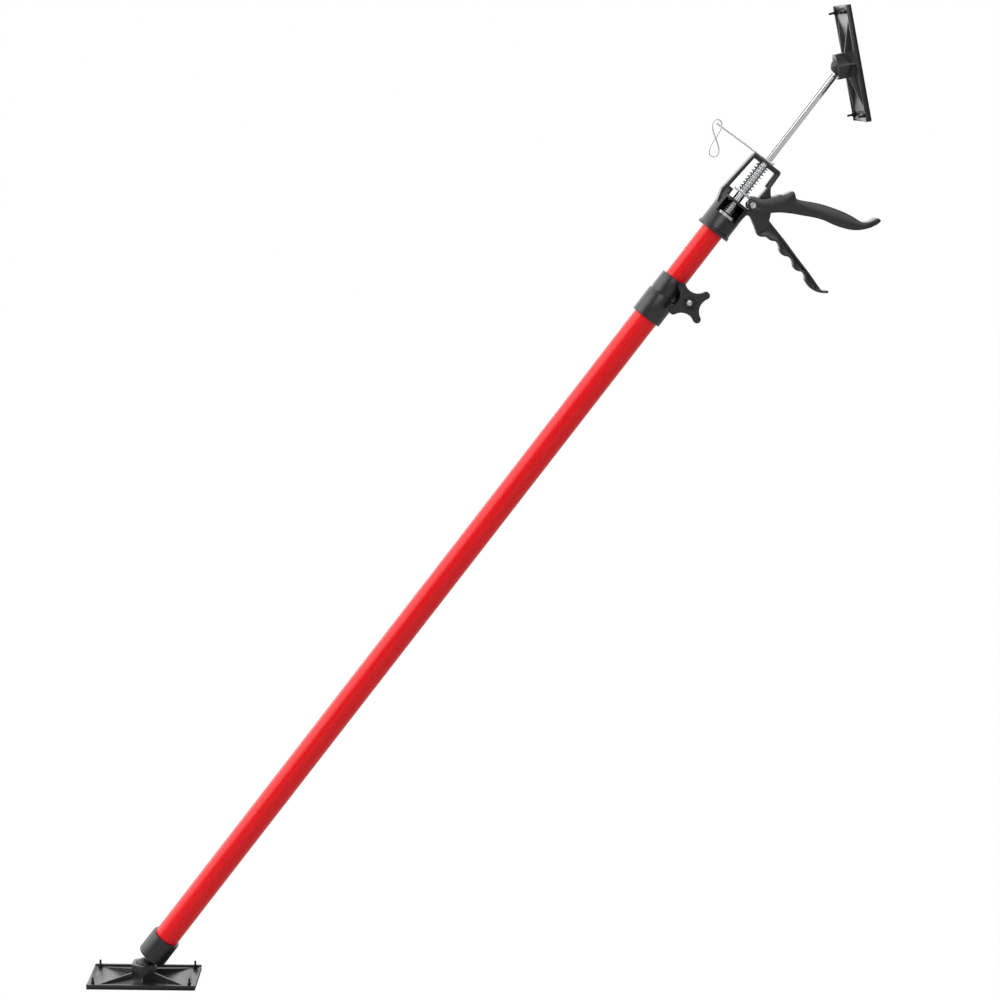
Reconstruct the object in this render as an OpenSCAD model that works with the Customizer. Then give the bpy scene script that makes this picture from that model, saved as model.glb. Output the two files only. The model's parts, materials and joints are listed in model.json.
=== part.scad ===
// Telescopic prop: two sliding tubes, a ratchet head with a pump lever, and a tilting pad at each end.
// Millimetres and degrees. The foot pad lies flat on the ground plane and the pole leans towards +X.

/* [Pose] */
// Lean of the pole from upright, about the foot ball
pole_lean = 36.4; // [0:0.1:36.4]
// Tilt of the head pad away from square to the pole
head_tilt = 40.4; // [0:0.1:41.2]
// Turn of the head pad about its own long side
head_turn = 3.3; // [0:0.1:3.3]
// Turn of the head pad about its ball, seen on its face
head_spin = -1.7; // [-3:0.1:3]

/* [Tubes] */
// Outer diameter of the lower tube
lower_tube_d = 28; // [26:0.5:32]
// Wall of the lower tube
lower_tube_wall = 1.2; // [1:0.1:1.4]
// Length of the lower tube
lower_tube_len = 926; // [900:1:1100]
// Wall of the upper tube
upper_tube_wall = 1.2; // [1:0.1:1.4]
// Length of the upper tube
upper_tube_len = 890; // [700:1:890]
// Play between the two tubes, each side
tube_gap = 0.3; // [0.25:0.05:0.35]
// Length of upper tube showing above the clamp collar
tube_showing = 63.5; // [62:0.5:100]

/* [Pads] */
// Long side of a pad
pad_len = 121; // [110:1:150]
// Short side of a pad
pad_w = 61; // [56:1:75]
// Corner radius of a pad
pad_corner_r = 2; // [1:0.5:4]
// Thickness of the rubber sole
sole_t = 2; // [1.5:0.5:4]
// Thickness of the pad's floor
pad_floor_t = 1.5; // [1.2:0.1:2.5]
// Height of the pad's rim above the sole
pad_rim_h = 3.4; // [2.6:0.1:5]
// Width of the rims along the pad's long sides
pad_rim_w = 2.5; // [2:0.1:4]
// Width of the low lips along the pad's short sides
pad_lip_w = 2.6; // [1:0.1:3]
// Ball diameter
ball_d = 19; // [18:0.1:19.4]
// Width of the hexagonal hub across its flats
hub_flats = 26; // [25:0.1:30]
// Height of the hub's rim above the ball centre
hub_rise = 4.3; // [4:0.1:5]
// Height of a rib where it meets the hub
rib_h = 7; // [5:0.5:9]
// Thickness of a rib
rib_t = 1.8; // [1.4:0.1:2.6]
// Diameter of a sole peg in its hole
peg_d = 3.4; // [2.6:0.1:4]
// Diameter of a peg's bulb above its hole
peg_bulb_d = 3.8; // [3.6:0.1:5]
// Height of a sole peg above the floor
peg_h = 8.4; // [6:0.1:10]

/* [Foot cap] */
// Outside radius of the cap beyond the tube
cap_wall = 2.8; // [2:0.1:4]
// Length of the cap
cap_len = 28.5; // [22:0.5:36]
// Thickness of the cap's floor
cap_floor_t = 3; // [2.5:0.5:4]
// Distance from the ball centre to the cap
cap_stand_off = 14.5; // [14.2:0.1:18]
// Diameter of the foot ball's neck
foot_neck_d = 9.8; // [8:0.1:9.8]

/* [Clamp collar] */
// Wall of the collar's lower part round the lower tube
collar_wall = 3; // [2.4:0.1:4]
// Length of lower tube held in the collar
collar_grip = 27; // [20:0.5:36]
// Thickness of the step over the lower tube's end
collar_step_t = 3; // [1.2:0.1:4]
// Wall of the split part round the upper tube
clamp_wall = 3.3; // [2.6:0.1:4]
// Height of the split part
clamp_h = 20.8; // [20:0.1:26]
// Width of the split
split_w = 2.4; // [1.6:0.1:3]
// Thickness of one clamp ear
ear_t = 5; // [4:0.1:6]
// Radius of the ears' round ends
ear_r = 8.2; // [7:0.1:9]
// Distance from the pole's axis to the clamp screw
screw_offset = 24.8; // [24.6:0.1:31]
// Height of the clamp screw above the step
screw_rise = 10.2; // [9:0.1:11.6]
// Diameter of the clamp screw
screw_d = 6; // [5:0.5:6]

/* [Clamp knob] */
// Radius to the tips of the lobes
knob_r = 23; // [21:0.5:26]
// Radius of a lobe's round end
lobe_r = 4.1; // [3.4:0.1:5]
// Radius at the waist between two lobes
waist_r = 11.6; // [10.5:0.1:13]
// Thickness of the knob's lobes
knob_t = 8; // [7:0.5:12]
// Length of the knob's boss, which holds the lobes clear of the collar
knob_boss_t = 10.9; // [10.8:0.1:13]
// Depth of the recess round the screw's end
recess_depth = 5.2; // [3:0.1:6]
// Radius of that recess
recess_r = 7.2; // [5:0.1:7.6]
// Turn of the lobes
knob_turn = 62; // [0:1:90]

/* [Ratchet frame] */
// Wall of the sleeve round the upper tube
sleeve_wall = 5.2; // [4:0.1:6]
// Height of the sleeve
sleeve_h = 40; // [37:0.5:46]
// Depth of the upper tube in the sleeve
tube_seat = 19.5; // [15:0.5:21]
// Thickness of the sleeve's top wall
sleeve_top_t = 2.8; // [2:0.1:4]
// Height of the bead at the sleeve's lower end
bead_h = 4.5; // [3:0.5:6]
// How far the bead stands out
bead_out = 1.2; // [0.6:0.1:2]
// Width of the sleeve's front window
window_w = 24; // [18:0.5:25]
// Height of the open frame above the sleeve
frame_rise = 51.2; // [50:0.1:60]
// Half width of the open frame at its right arm
frame_half_w = 20; // [19:0.1:22]
// Depth of the frame, front to back
frame_depth = 20; // [19:0.5:24]
// Thickness of the frame's outer flange
flange_t = 2.5; // [2:0.1:3]
// Thickness of the inner rib inside that flange
frame_rib_t = 2.3; // [1.6:0.1:2.6]
// Depth of the inner rib, front to back
frame_rib_depth = 9; // [6:0.5:12]
// Pivot's distance from the rod's axis
pivot_x = 16.4; // [15.9:0.1:17]
// Pivot's height above the sleeve
pivot_rise = 6.6; // [6.4:0.1:7.5]
// Diameter of the pivot pin
pin_d = 5; // [4:0.1:5]

/* [Fixed handle] */
// Reach of the fixed handle from the pivot
handle_len = 120.8; // [100:0.1:135]
// Depth of the fixed handle, front to back
handle_depth = 16; // [14:0.5:16]
// Thickness of the handle's web
web_t = 6; // [4:0.5:7]
// Thickness of the rim along the finger grooves
groove_rim_t = 2.3; // [1.6:0.1:2.6]
// Thickness of the rim along the upper edge
top_rim_t = 1.8; // [1.4:0.1:2.2]

/* [Pump lever] */
// Reach of the lever from the pivot
lever_len = 117; // [100:0.5:130]
// Width of the lever, front to back
lever_w = 22; // [21.6:0.1:25]
// Thickness of the lever's side cheeks
cheek_t = 2.6; // [2.2:0.1:2.6]
// Thickness of the lever's back
lever_skin_t = 2.8; // [2:0.1:3.4]
// Width of the tongue that carries the cam
tongue_w = 7; // [5:0.5:7]
// Radius of the tongue's hub
hub_r = 4.2; // [4:0.1:4.3]
// Radius of the cam nose
nose_r = 1.9; // [1.6:0.1:2]
// Distance of the cam nose from the pivot
nose_reach = 4.65; // [4.4:0.05:4.8]

/* [Rod and plates] */
// Diameter of the push rod
rod_d = 10; // [9:0.1:10.4]
// Length of the push rod
rod_len = 440; // [380:1:500]
// Distance from the frame's top to the head ball centre
rod_showing = 122.8; // [100:0.1:140]
// Thickness of the drive plate
drive_t = 2.4; // [2:0.1:2.6]
// Width of the drive plate, front to back
drive_w = 15; // [13:0.5:15.5]
// Reach of the drive plate to the left of the rod
drive_left = 10.2; // [9:0.1:11]
// Reach of the drive plate's full width to the right of the rod
drive_right = 10.4; // [9:0.1:11]
// Reach of the drive plate's narrow nose, over the cam
drive_nose = 12.8; // [12.2:0.1:13]
// Diameter of the rod's neck below the head ball
head_neck_d = 8.4; // [7.6:0.1:8.4]

/* [Springs] */
// Wire of the return spring
return_wire_d = 1.5; // [1.2:0.1:1.6]
// Turns of the return spring
return_turns = 9.5; // [7:0.5:9.5]
// Play between a spring and the rod, each side
spring_play = 0.6; // [0.4:0.1:0.8]
// Wire of the short spring in the sleeve
short_wire_d = 1.2; // [1:0.1:1.3]
// Turns of the short spring in the sleeve
short_turns = 5.5; // [3:0.1:5.5]
// Spread of the short spring's lowest turn beyond its highest, each side
short_flare = 3; // [0:0.1:3.5]
// Height of the spring cup's flange
cup_flange_t = 3.4; // [3:0.1:4.5]
// Height of the spring cup's cone, inside the spring
cup_cone_h = 2; // [1:0.1:2.5]

/* [Release strip and ring] */
// Reach of the release strip to the left of the rod
strip_len = 68.4; // [55:0.1:80]
// Thickness of the release strip
strip_t = 1.9; // [1.5:0.1:2.2]
// Width of the strip round the rod
strip_w = 16; // [15:0.5:18]
// Width of the strip at its end
strip_end_w = 10; // [9:0.5:12]
// Droop of the strip past the frame
strip_droop = 1.6; // [0:0.1:3]
// Distance from the strip's end to its ring hole
ring_hole_inset = 8.9; // [8:0.1:9]
// Diameter of the ring hole
ring_hole_d = 4.4; // [3.6:0.1:5]
// Wire of the pull ring
ring_wire_d = 1.3; // [1:0.1:1.5]
// Height of the pull ring
ring_h = 40; // [36:0.5:44]
// Width of the pull ring
ring_w = 11.2; // [10.5:0.1:12]
// Lean of the hanging ring
ring_lean = 5; // [2:1:6]

/* [Hidden] */
$fn = 64;

// Fits and overruns
cut = 1;            // overrun of a cut past a face
run_gap = 0.06;     // radial play of a running fit
seat_gap = 0.15;    // gap between two seated faces of moving pieces
side_gap = 0.4;     // play beside the lever's cheeks
edge_r = 0.8;       // small edge break

// Small sizes of single pieces
hub_flange_t = 1;
hub_flange_out = 1.6;
hub_fin = 3.6;
pad_lip_h = 0.7;
peg_bulb_h = 3;
peg_taper_h = 1;
socket_seat_t = 3;
peg_tip_d = 2.3;
stud_nut_t = 5;
stud_nut_flats = 17;
guide_len = 14;
guide_lip_t = 4;
rivet_d = 4;
rivet_head_d = 7;
rivet_head_t = 1.2;
screw_head_t = 4;
screw_head_flats = 10;
screw_nut_t = 5;
screw_end_gap = 2.4;
knob_boss_r = 8.4;
collar_groove = 0.5;
pin_head_d = 6.8;
pin_head_t = 1.4;
stem_d = 6;
stem_len = 18;
head_neck_len = 12;
rod_bore_gap = 0.3;
plate_bore_gap = 0.3;
strip_bore_gap = 0.5;
strip_tail = 7.4;
lip_h = 1.5;
lip_t = 1.5;
corner_r = 3;
shoulder_h = 7.7;
shoulder_w = 6.4;
boss_wall = 2.6;
ear_boss_r = 4.6;
arm_w = 7;
arm_len = 31;
clevis_gap = 0.5;
cup_clear = 1.2;
cone_shares = [7 / 11, 1 / 3];
rivet_sink = 0.5;
tube_stop_gap = 6;

// Derived tube sizes
lower_r = lower_tube_d / 2;
lower_bore_r = lower_r - lower_tube_wall;
upper_r = lower_bore_r - tube_gap;
upper_bore_r = upper_r - upper_tube_wall;
rod_r = rod_d / 2;
ball_r = ball_d / 2;
socket_r = ball_r + run_gap;

// Stations along the pole, from the foot ball centre
ball_h = sole_t + pad_floor_t + socket_seat_t + socket_r;
tube_z = cap_stand_off + cap_floor_t;
tube_end_z = tube_z + lower_tube_len;
collar_z = tube_end_z - collar_grip;
collar_step_z = tube_end_z + collar_step_t;
collar_end_z = collar_step_z + clamp_h;
tube_stop_z = tube_z + stud_nut_t + guide_lip_t + tube_stop_gap;
gun_z = max(collar_end_z + tube_showing, tube_stop_z + upper_tube_len - tube_seat);
upper_tube_z = gun_z + tube_seat - upper_tube_len;
frame_h = sleeve_h + frame_rise;
head_z = gun_z + frame_h + rod_showing;
rod_end_z = head_z - head_neck_len;
rod_z = rod_end_z - rod_len;

// Ratchet frame, measured from the sleeve's lower end
sleeve_r = upper_r + sleeve_wall;
chamber_r = sleeve_r - boss_wall;
pivot_z = sleeve_h + pivot_rise;
pivot = [pivot_x, pivot_z];
bar_t = flange_t + frame_rib_t;
bar_z = frame_h - bar_t;
nose_lift = 8;      // angle of the cam nose above level, in degrees
nose = [pivot_x - nose_reach * cos(nose_lift), pivot_z + nose_reach * sin(nose_lift)];
drive_z = nose[1] + nose_r + seat_gap;
cup_z = tube_seat;
cup_top_z = cup_z + cup_flange_t;
screw_z = collar_step_z + screw_rise;

// Shares of frame_half_w and frame_h: the open frame's outline, with its arms leaning in
frame_shares = [[-0.82, 0.30], [-0.865, 0.318], [-1.04, 0.453], [-0.995, 0.533], [-0.80, 1],
                [0.96, 1], [1, 0.78], [0.985, 0.64], [0.93, 0.44], [0.8, 0.3]];
// Shares of frame_half_w: the window's sides at its lower and upper end
window_low_shares = [-0.80, 0.85];
window_mid_share = 0.735;
window_top_shares = [-0.62, 0.72];
// Share of frame_h where the right arm's inner rib ends
rib_end_share = 0.767;
// Shares of handle_len from the pivot: the fixed handle's grooved lower edge
groove_shares = [[-0.004, -0.150], [0.010, -0.104], [0.038, -0.090], [0.066, -0.100], [0.136, -0.138],
                 [0.186, -0.170], [0.215, -0.176], [0.240, -0.160], [0.268, -0.143], [0.312, -0.145],
                 [0.348, -0.127], [0.376, -0.124], [0.404, -0.135], [0.440, -0.169], [0.484, -0.180],
                 [0.520, -0.164], [0.553, -0.161], [0.582, -0.170], [0.618, -0.202], [0.658, -0.212],
                 [0.690, -0.197], [0.720, -0.193], [0.747, -0.204], [0.780, -0.237], [0.844, -0.256],
                 [0.895, -0.255], [0.950, -0.234], [1.000, -0.199]];
// Shares of handle_len from the pivot: the fixed handle's upper edge, from its tip back to the root
top_shares = [[0.991, -0.182], [0.960, -0.203], [0.925, -0.212], [0.755, -0.161], [0.578, -0.116],
              [0.401, -0.067], [0.215, -0.024], [0.194, -0.012]];
// Shares of lever_len from the pivot: upper edge of the lever, from its ear to its hooked tip
lever_top_shares = [[0.103, 0.169], [0.136, 0.224], [0.150, 0.226], [0.178, 0.264], [0.205, 0.312],
                    [0.226, 0.312], [0.250, 0.296], [0.275, 0.281], [0.321, 0.298], [0.412, 0.347],
                    [0.503, 0.388], [0.593, 0.419], [0.685, 0.446], [0.775, 0.463], [0.862, 0.473],
                    [0.900, 0.494], [0.930, 0.527], [0.957, 0.581], [0.975, 0.592], [0.995, 0.590]];
// Shares of lever_len from the pivot: lower edge of the lever, from its tip back to its ear
lever_low_shares = [[1.001, 0.577], [0.994, 0.545], [0.980, 0.515], [0.958, 0.474], [0.895, 0.403],
                    [0.822, 0.354], [0.731, 0.316], [0.685, 0.304], [0.594, 0.282], [0.503, 0.246],
                    [0.412, 0.199], [0.321, 0.152], [0.231, 0.096], [0.176, 0.050]];
// Shares of lever_len from the pivot: underside of the lever's back, over the hollow
hollow_shares = [[0.125, 0.157], [0.159, 0.205], [0.197, 0.251], [0.236, 0.270], [0.275, 0.255],
                 [0.326, 0.273], [0.415, 0.321], [0.512, 0.362], [0.599, 0.393], [0.689, 0.421],
                 [0.779, 0.438], [0.830, 0.440]];
// Shares of lever_len from the pivot: the ear round the pivot
ear_low_shares = [[0.122, 0.001], [0.085, -0.021], [0.050, -0.041], [0.010, -0.050]];
ear_top_shares = [[-0.050, 0.030], [-0.050, 0.057], [-0.015, 0.079], [0.022, 0.089], [0.058, 0.115]];
ear_r_share = 0.0504;
// Shares of handle_len where the handle's side pocket begins and ends
pocket_shares = [0.20, 0.9];
// Shares of the pad's sides where a rib ends, and where a peg stands
rib_end_shares = [0.405, 0.41];
peg_shares = [0.444, 0.41];
// Angle of the arm that joins the tongue to the lever's back
arm_angle = 54;
// Squeeze of the lever at its stop
squeeze = 34;

// Smooth curve through a list of points
function curve_at(a, b, c, d, t) =
    0.5 * (2 * b + (c - a) * t + (2 * a - 5 * b + 4 * c - d) * t * t + (3 * b - a - 3 * c + d) * t * t * t);
function curve(p, steps) = [
    for (i = [0:len(p) - 2], k = [0:steps - 1])
        curve_at(p[max(i - 1, 0)], p[i], p[i + 1], p[min(i + 2, len(p) - 1)], k / steps),
    p[len(p) - 1]];
function scaled(shares, size, place = [0, 0]) = [for (s = shares) place + s * size];
function shifted(p, step) = [for (q = p) q + step];
function reversed(p) = [for (i = [len(p) - 1:-1:0]) p[i]];
function unit(v) = v / norm(v);
// Points moved to the right of their own path by a distance
function beside(p, d) = [
    for (i = [0:len(p) - 1])
        let (t = unit(p[min(i + 1, len(p) - 1)] - p[max(i - 1, 0)])) p[i] + d * [t[1], -t[0]]];
// Corner of an outline turned into an arc; each corner is a point and its radius
function arc_corner(a, p, b, r, steps = 5) =
    let (u = unit(a - p), v = unit(b - p), half = acos(u * v) / 2,
         mid = p + unit(u + v) * r / sin(half),
         from = p + u * r / tan(half) - mid, to = p + v * r / tan(half) - mid,
         start = atan2(from[1], from[0]),
         turn = atan2(from[0] * to[1] - from[1] * to[0], from * to))
    [for (k = [0:steps]) mid + r * [cos(start + turn * k / steps), sin(start + turn * k / steps)]];
function rounded(p, r) = [
    for (i = [0:len(p) - 1]) each arc_corner(p[(i + len(p) - 1) % len(p)], p[i], p[(i + 1) % len(p)], r[i])];
function hexagon_r(flats) = flats / sqrt(3);

// Places along the pole, and inside the ratchet frame
module on_pole(z = 0) {
    translate([0, 0, ball_h]) rotate([0, pole_lean, 0]) translate([0, 0, z]) children();
}
module on_gun() {
    on_pole(gun_z) children();
}
module on_head() {
    on_pole(head_z) rotate([0, 180 + head_tilt, 0]) rotate([head_turn, 0, head_spin]) children();
}
// A drawing in X and Z given a depth in Y
module upright(depth) {
    rotate([90, 0, 0]) linear_extrude(height = depth, center = true) children();
}
// A cylinder along Y
module across(r, depth, fn = $fn) {
    rotate([90, 0, 0]) cylinder(r = r, h = depth, center = true, $fn = fn);
}

// Pads: drawn with the ball centre at the origin and the sole below
module pad_outline(inset = 0) {
    x = pad_len / 2 - inset;
    y = pad_w / 2 - inset;
    r = max(pad_corner_r - inset, edge_r);
    polygon(rounded([[-x, -y], [x, -y], [x, y], [-x, y]], [r, r, r, r]));
}
module at_pegs() {
    for (x = [-1, 1], y = [-1, 1])
        translate([x * peg_shares[0] * pad_len, y * peg_shares[1] * pad_w, 0]) children();
}
module pad_rib() {
    reach = [rib_end_shares[0] * pad_len, rib_end_shares[1] * pad_w];
    rotate([0, 0, atan2(reach[1], reach[0])])
        upright(rib_t) polygon([[0, 0], [norm(reach), 0], [hub_flats / 2, rib_h], [0, rib_h]]);
}
module pad_plate() {
    floor_z = sole_t - ball_h;
    top_z = floor_z + pad_floor_t;
    flare_h = hub_rise + cut;
    flare_r = ball_r * sin(68);
    flare_z = ball_r * cos(68);
    difference() {
        union() {
            translate([0, 0, floor_z]) {
                linear_extrude(height = pad_floor_t) pad_outline();
                linear_extrude(height = pad_rim_h) difference() {
                    pad_outline();
                    square([pad_len + cut, pad_w - 2 * pad_rim_w], center = true);
                }
                linear_extrude(height = pad_floor_t + pad_lip_h) difference() {
                    pad_outline();
                    square([pad_len - 2 * pad_lip_w, pad_w + cut], center = true);
                }
            }
            translate([0, 0, floor_z]) rotate([0, 0, 30])
                cylinder(r = hexagon_r(hub_flats), h = hub_rise - floor_z, $fn = 6);
            translate([0, 0, floor_z]) rotate([0, 0, 30])
                cylinder(r = hexagon_r(hub_flats + 2 * hub_flange_out), h = pad_floor_t + hub_flange_t, $fn = 6);
            for (side = [0, 1]) mirror([0, side, 0]) {
                for (end = [0, 1]) mirror([end, 0, 0]) translate([0, 0, top_z]) pad_rib();
                translate([0, hexagon_r(hub_flats) - edge_r, top_z]) rotate([0, 0, 90])
                    upright(rib_t) polygon([[0, 0], [hub_fin + edge_r, 0], [0, hub_fin]]);
            }
        }
        sphere(r = socket_r);
        translate([0, 0, flare_z]) cylinder(r1 = flare_r, r2 = flare_r + (flare_h - flare_z) * tan(40),
                                            h = flare_h - flare_z);
        translate([0, 0, floor_z - cut]) at_pegs() cylinder(d = peg_d + 2 * run_gap, h = pad_floor_t + 2 * cut);
    }
}
module pad_sole() {
    translate([0, 0, -ball_h]) {
        linear_extrude(height = sole_t) pad_outline();
        at_pegs() {
            cylinder(d = peg_d, h = sole_t + pad_floor_t + peg_bulb_h);
            translate([0, 0, sole_t + pad_floor_t + run_gap]) cylinder(d = peg_bulb_d, h = peg_bulb_h);
            translate([0, 0, sole_t + pad_floor_t + run_gap + peg_bulb_h])
                cylinder(d1 = peg_bulb_d, d2 = peg_tip_d, h = peg_taper_h);
            cylinder(d = peg_tip_d, h = sole_t + pad_floor_t + peg_h);
        }
    }
}

module foot_plate() {
    color([0.12, 0.12, 0.13]) translate([0, 0, ball_h]) pad_plate();
}
module foot_sole() {
    color([0.07, 0.07, 0.07]) translate([0, 0, ball_h]) pad_sole();
}
module head_plate() {
    color([0.12, 0.12, 0.13]) on_head() pad_plate();
}
module head_sole() {
    color([0.07, 0.07, 0.07]) on_head() pad_sole();
}

// Foot end of the pole
module foot_ball() {
    color([0.16, 0.16, 0.17]) on_pole() {
        sphere(r = ball_r);
        cylinder(d = foot_neck_d, h = tube_z + stud_nut_t + cut);
    }
}
module foot_ball_nut() {
    color([0.75, 0.76, 0.78]) on_pole(tube_z + seat_gap) difference() {
        cylinder(r = hexagon_r(stud_nut_flats), h = stud_nut_t, $fn = 6);
        translate([0, 0, -cut]) cylinder(d = foot_neck_d + 2 * run_gap, h = stud_nut_t + 2 * cut);
    }
}
module foot_cap() {
    cap_r = lower_r + cap_wall;
    color([0.15, 0.15, 0.16]) on_pole(cap_stand_off) difference() {
        rotate_extrude() polygon(concat([[0, 0]],
            arc_corner([0, 0], [cap_r, 0], [cap_r, cap_len], 2 * edge_r),
            arc_corner([cap_r, 0], [cap_r, cap_len], [0, cap_len], edge_r), [[0, cap_len]]));
        translate([0, 0, cap_floor_t]) cylinder(r = lower_r, h = cap_len);
        translate([0, 0, -cut]) cylinder(d = foot_neck_d + 2 * run_gap, h = cap_floor_t + 2 * cut);
    }
}
module tube(r, bore_r, len) {
    rotate_extrude() translate([bore_r, 0]) square([r - bore_r, len]);
}
module lower_tube() {
    color([0.85, 0.09, 0.11]) on_pole(tube_z) tube(lower_r, lower_bore_r, lower_tube_len);
}

// Clamp collar: a socket on the lower tube with a split clamp for the upper tube on top
module clamp_collar() {
    low_r = lower_r + collar_wall;
    top_r = upper_r + clamp_wall;
    low_h = collar_step_z - collar_z;
    ear_in = upper_r + clamp_wall / 2;
    ear_z = low_h + screw_rise;
    color([0.15, 0.15, 0.16]) on_pole(collar_z) difference() {
        union() {
            rotate_extrude() polygon(concat([[0, 0]],
                arc_corner([0, 0], [low_r, 0], [low_r, low_h], edge_r),
                arc_corner([low_r, 0], [low_r, low_h - collar_groove], [0, low_h - collar_groove], edge_r),
                [[top_r - collar_groove, low_h - collar_groove], [top_r - collar_groove, low_h + collar_groove]],
                [[top_r, low_h + collar_groove]],
                arc_corner([top_r, 0], [top_r, low_h + clamp_h], [0, low_h + clamp_h], edge_r),
                [[0, low_h + clamp_h]]));
            upright(2 * ear_t + split_w) union() {
                translate([screw_offset, ear_z]) circle(r = ear_r);
                translate([ear_in, ear_z - ear_r]) square([screw_offset - ear_in, 2 * ear_r]);
                translate([ear_in, low_h - collar_groove]) square([screw_offset - ear_in, screw_rise]);
            }
        }
        translate([0, 0, -cut]) cylinder(r = lower_r, h = collar_grip + cut);
        cylinder(r = upper_r + run_gap, h = low_h + clamp_h + cut);
        translate([0, -split_w / 2, low_h + collar_groove])
            cube([screw_offset + ear_r + cut, split_w, clamp_h + cut]);
        translate([screw_offset, 0, ear_z]) across(screw_d / 2 + run_gap, 4 * ear_t);
        translate([0, 0, collar_grip / 2]) rivet_seat(low_r);
    }
}
// Blind rivet on the back of a sleeve, along +Y from the tube's bore, and the hole and flat that it sits in
module rivet(out_r, in_r) {
    rotate([-90, 0, 0]) {
        translate([0, 0, in_r]) cylinder(d = rivet_d, h = out_r - rivet_sink - in_r);
        translate([0, 0, out_r - rivet_sink]) cylinder(d1 = rivet_head_d, d2 = rivet_d, h = rivet_head_t);
    }
}
module rivet_seat(out_r) {
    rotate([-90, 0, 0]) {
        cylinder(d = rivet_d, h = out_r);
        translate([0, 0, out_r - rivet_sink]) cylinder(d = rivet_head_d + 2 * seat_gap, h = rivet_sink + cut);
    }
}
module collar_rivet() {
    color([0.78, 0.79, 0.8]) on_pole(collar_z + collar_grip / 2) rivet(lower_r + collar_wall, lower_r + seat_gap);
}
module at_screw() {
    on_pole(screw_z) translate([screw_offset, 0, 0]) children();
}
ears_half = ear_t + split_w / 2;
knob_back = ears_half + seat_gap;
knob_front = knob_back + knob_boss_t + knob_t;
module clamp_screw() {
    screw_front = knob_front - screw_end_gap;
    color([0.8, 0.81, 0.82]) at_screw() {
        translate([0, -screw_front, 0]) rotate([-90, 0, 0])
            cylinder(d = screw_d, h = screw_front + ears_half + cut);
        translate([0, ears_half, 0]) rotate([-90, 0, 0])
            cylinder(r = hexagon_r(screw_head_flats), h = screw_head_t, $fn = 6);
    }
}
module clamp_nut() {
    color([0.7, 0.71, 0.73]) at_screw() translate([0, -knob_back - screw_nut_t, 0]) rotate([-90, 0, 0])
        difference() {
            cylinder(r = hexagon_r(screw_head_flats), h = screw_nut_t, $fn = 6);
            translate([0, 0, -cut]) cylinder(d = screw_d + 2 * run_gap, h = screw_nut_t + 2 * cut);
        }
}
// Four-lobed outline: the waists are circles that touch both neighbouring lobe ends
module knob_outline() {
    lobe_c = knob_r - lobe_r;
    waist_c = (lobe_c * lobe_c - pow(waist_r - lobe_r, 2)) / (2 * (lobe_c * cos(45) - (waist_r - lobe_r)));
    union() {
        difference() {
            polygon([for (a = [0:90:270], s = [-1, 1])
                [lobe_c * cos(a) - s * lobe_r * sin(a), lobe_c * sin(a) + s * lobe_r * cos(a)]]);
            for (a = [45:90:315]) rotate(a) translate([waist_c, 0]) circle(r = waist_c - waist_r);
        }
        for (a = [0:90:270]) rotate(a) translate([lobe_c, 0]) circle(r = lobe_r);
    }
}
module clamp_knob() {
    color([0.13, 0.13, 0.14]) at_screw() difference() {
        union() {
            translate([0, -knob_back - knob_boss_t - knob_t / 2, 0])
                upright(knob_t) rotate(knob_turn) knob_outline();
            translate([0, -knob_back - knob_boss_t / 2 - cut / 2, 0]) across(knob_boss_r, knob_boss_t + cut);
        }
        translate([0, -knob_front, 0]) across(recess_r, 2 * recess_depth);
        translate([0, -knob_front, 0]) across(screw_d / 2 + 2 * run_gap, 4 * knob_t);
        translate([0, -knob_back - screw_nut_t, 0]) rotate([-90, 0, 0])
            cylinder(r = hexagon_r(screw_head_flats), h = screw_nut_t + cut, $fn = 6);
    }
}

// Upper tube and what rides on it
module upper_tube() {
    color([0.85, 0.09, 0.11]) on_pole(upper_tube_z) tube(upper_r, upper_bore_r, upper_tube_len);
}
module tube_guide() {
    lip_r = lower_bore_r - run_gap;
    color([0.2, 0.2, 0.21]) on_pole(upper_tube_z) difference() {
        union() {
            translate([0, 0, -guide_lip_t]) cylinder(r = lip_r, h = guide_lip_t);
            cylinder(r = upper_bore_r, h = guide_len);
        }
        translate([0, 0, -guide_lip_t - cut])
            cylinder(r = upper_bore_r - boss_wall, h = guide_len + guide_lip_t + 2 * cut);
    }
}

// Outlines of the ratchet frame
module frame_outline() {
    p = [for (s = frame_shares) [s[0] * frame_half_w, s[1] * frame_h]];
    r = [0, 0, corner_r, corner_r, corner_r, corner_r, corner_r, corner_r, corner_r, 0];
    polygon([for (i = [0:len(p) - 1]) each (r[i] == 0 ? [p[i]] :
        arc_corner(p[i - 1], p[i], p[(i + 1) % len(p)], r[i]))]);
}
// The opening inside the arms; grow widens it up to the outer flange
module frame_window(grow) {
    low = [for (s = window_low_shares) s * frame_half_w];
    top = [for (s = window_top_shares) s * frame_half_w];
    z = bar_z + grow;
    p = [[low[0] - grow / 2, sleeve_h], [low[1], sleeve_h], [low[1], sleeve_h + shoulder_h],
         [low[1] + grow / 2, rib_end_share * frame_h], [top[1] + grow, z], [top[0] - grow, z]];
    polygon([for (i = [0:len(p) - 1]) each (i < 4 ? [p[i]] :
        arc_corner(p[i - 1], p[i], p[(i + 1) % len(p)], corner_r / 2))]);
}
module right_rib() {
    z = rib_end_share * frame_h;
    x = window_top_shares[1] * frame_half_w;
    mid = window_mid_share * frame_half_w;
    polygon([[x, bar_z + frame_rib_t], [x, bar_z], [mid, z], [mid + frame_rib_t, z], [frame_half_w - flange_t / 2, bar_z + frame_rib_t]]);
}
function groove_edge() = curve(scaled(groove_shares, handle_len, pivot), 3);
function handle_top_edge() = curve(scaled(top_shares, handle_len, pivot), 3);
ear_plate_r = lever_len * 0.178;
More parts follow.
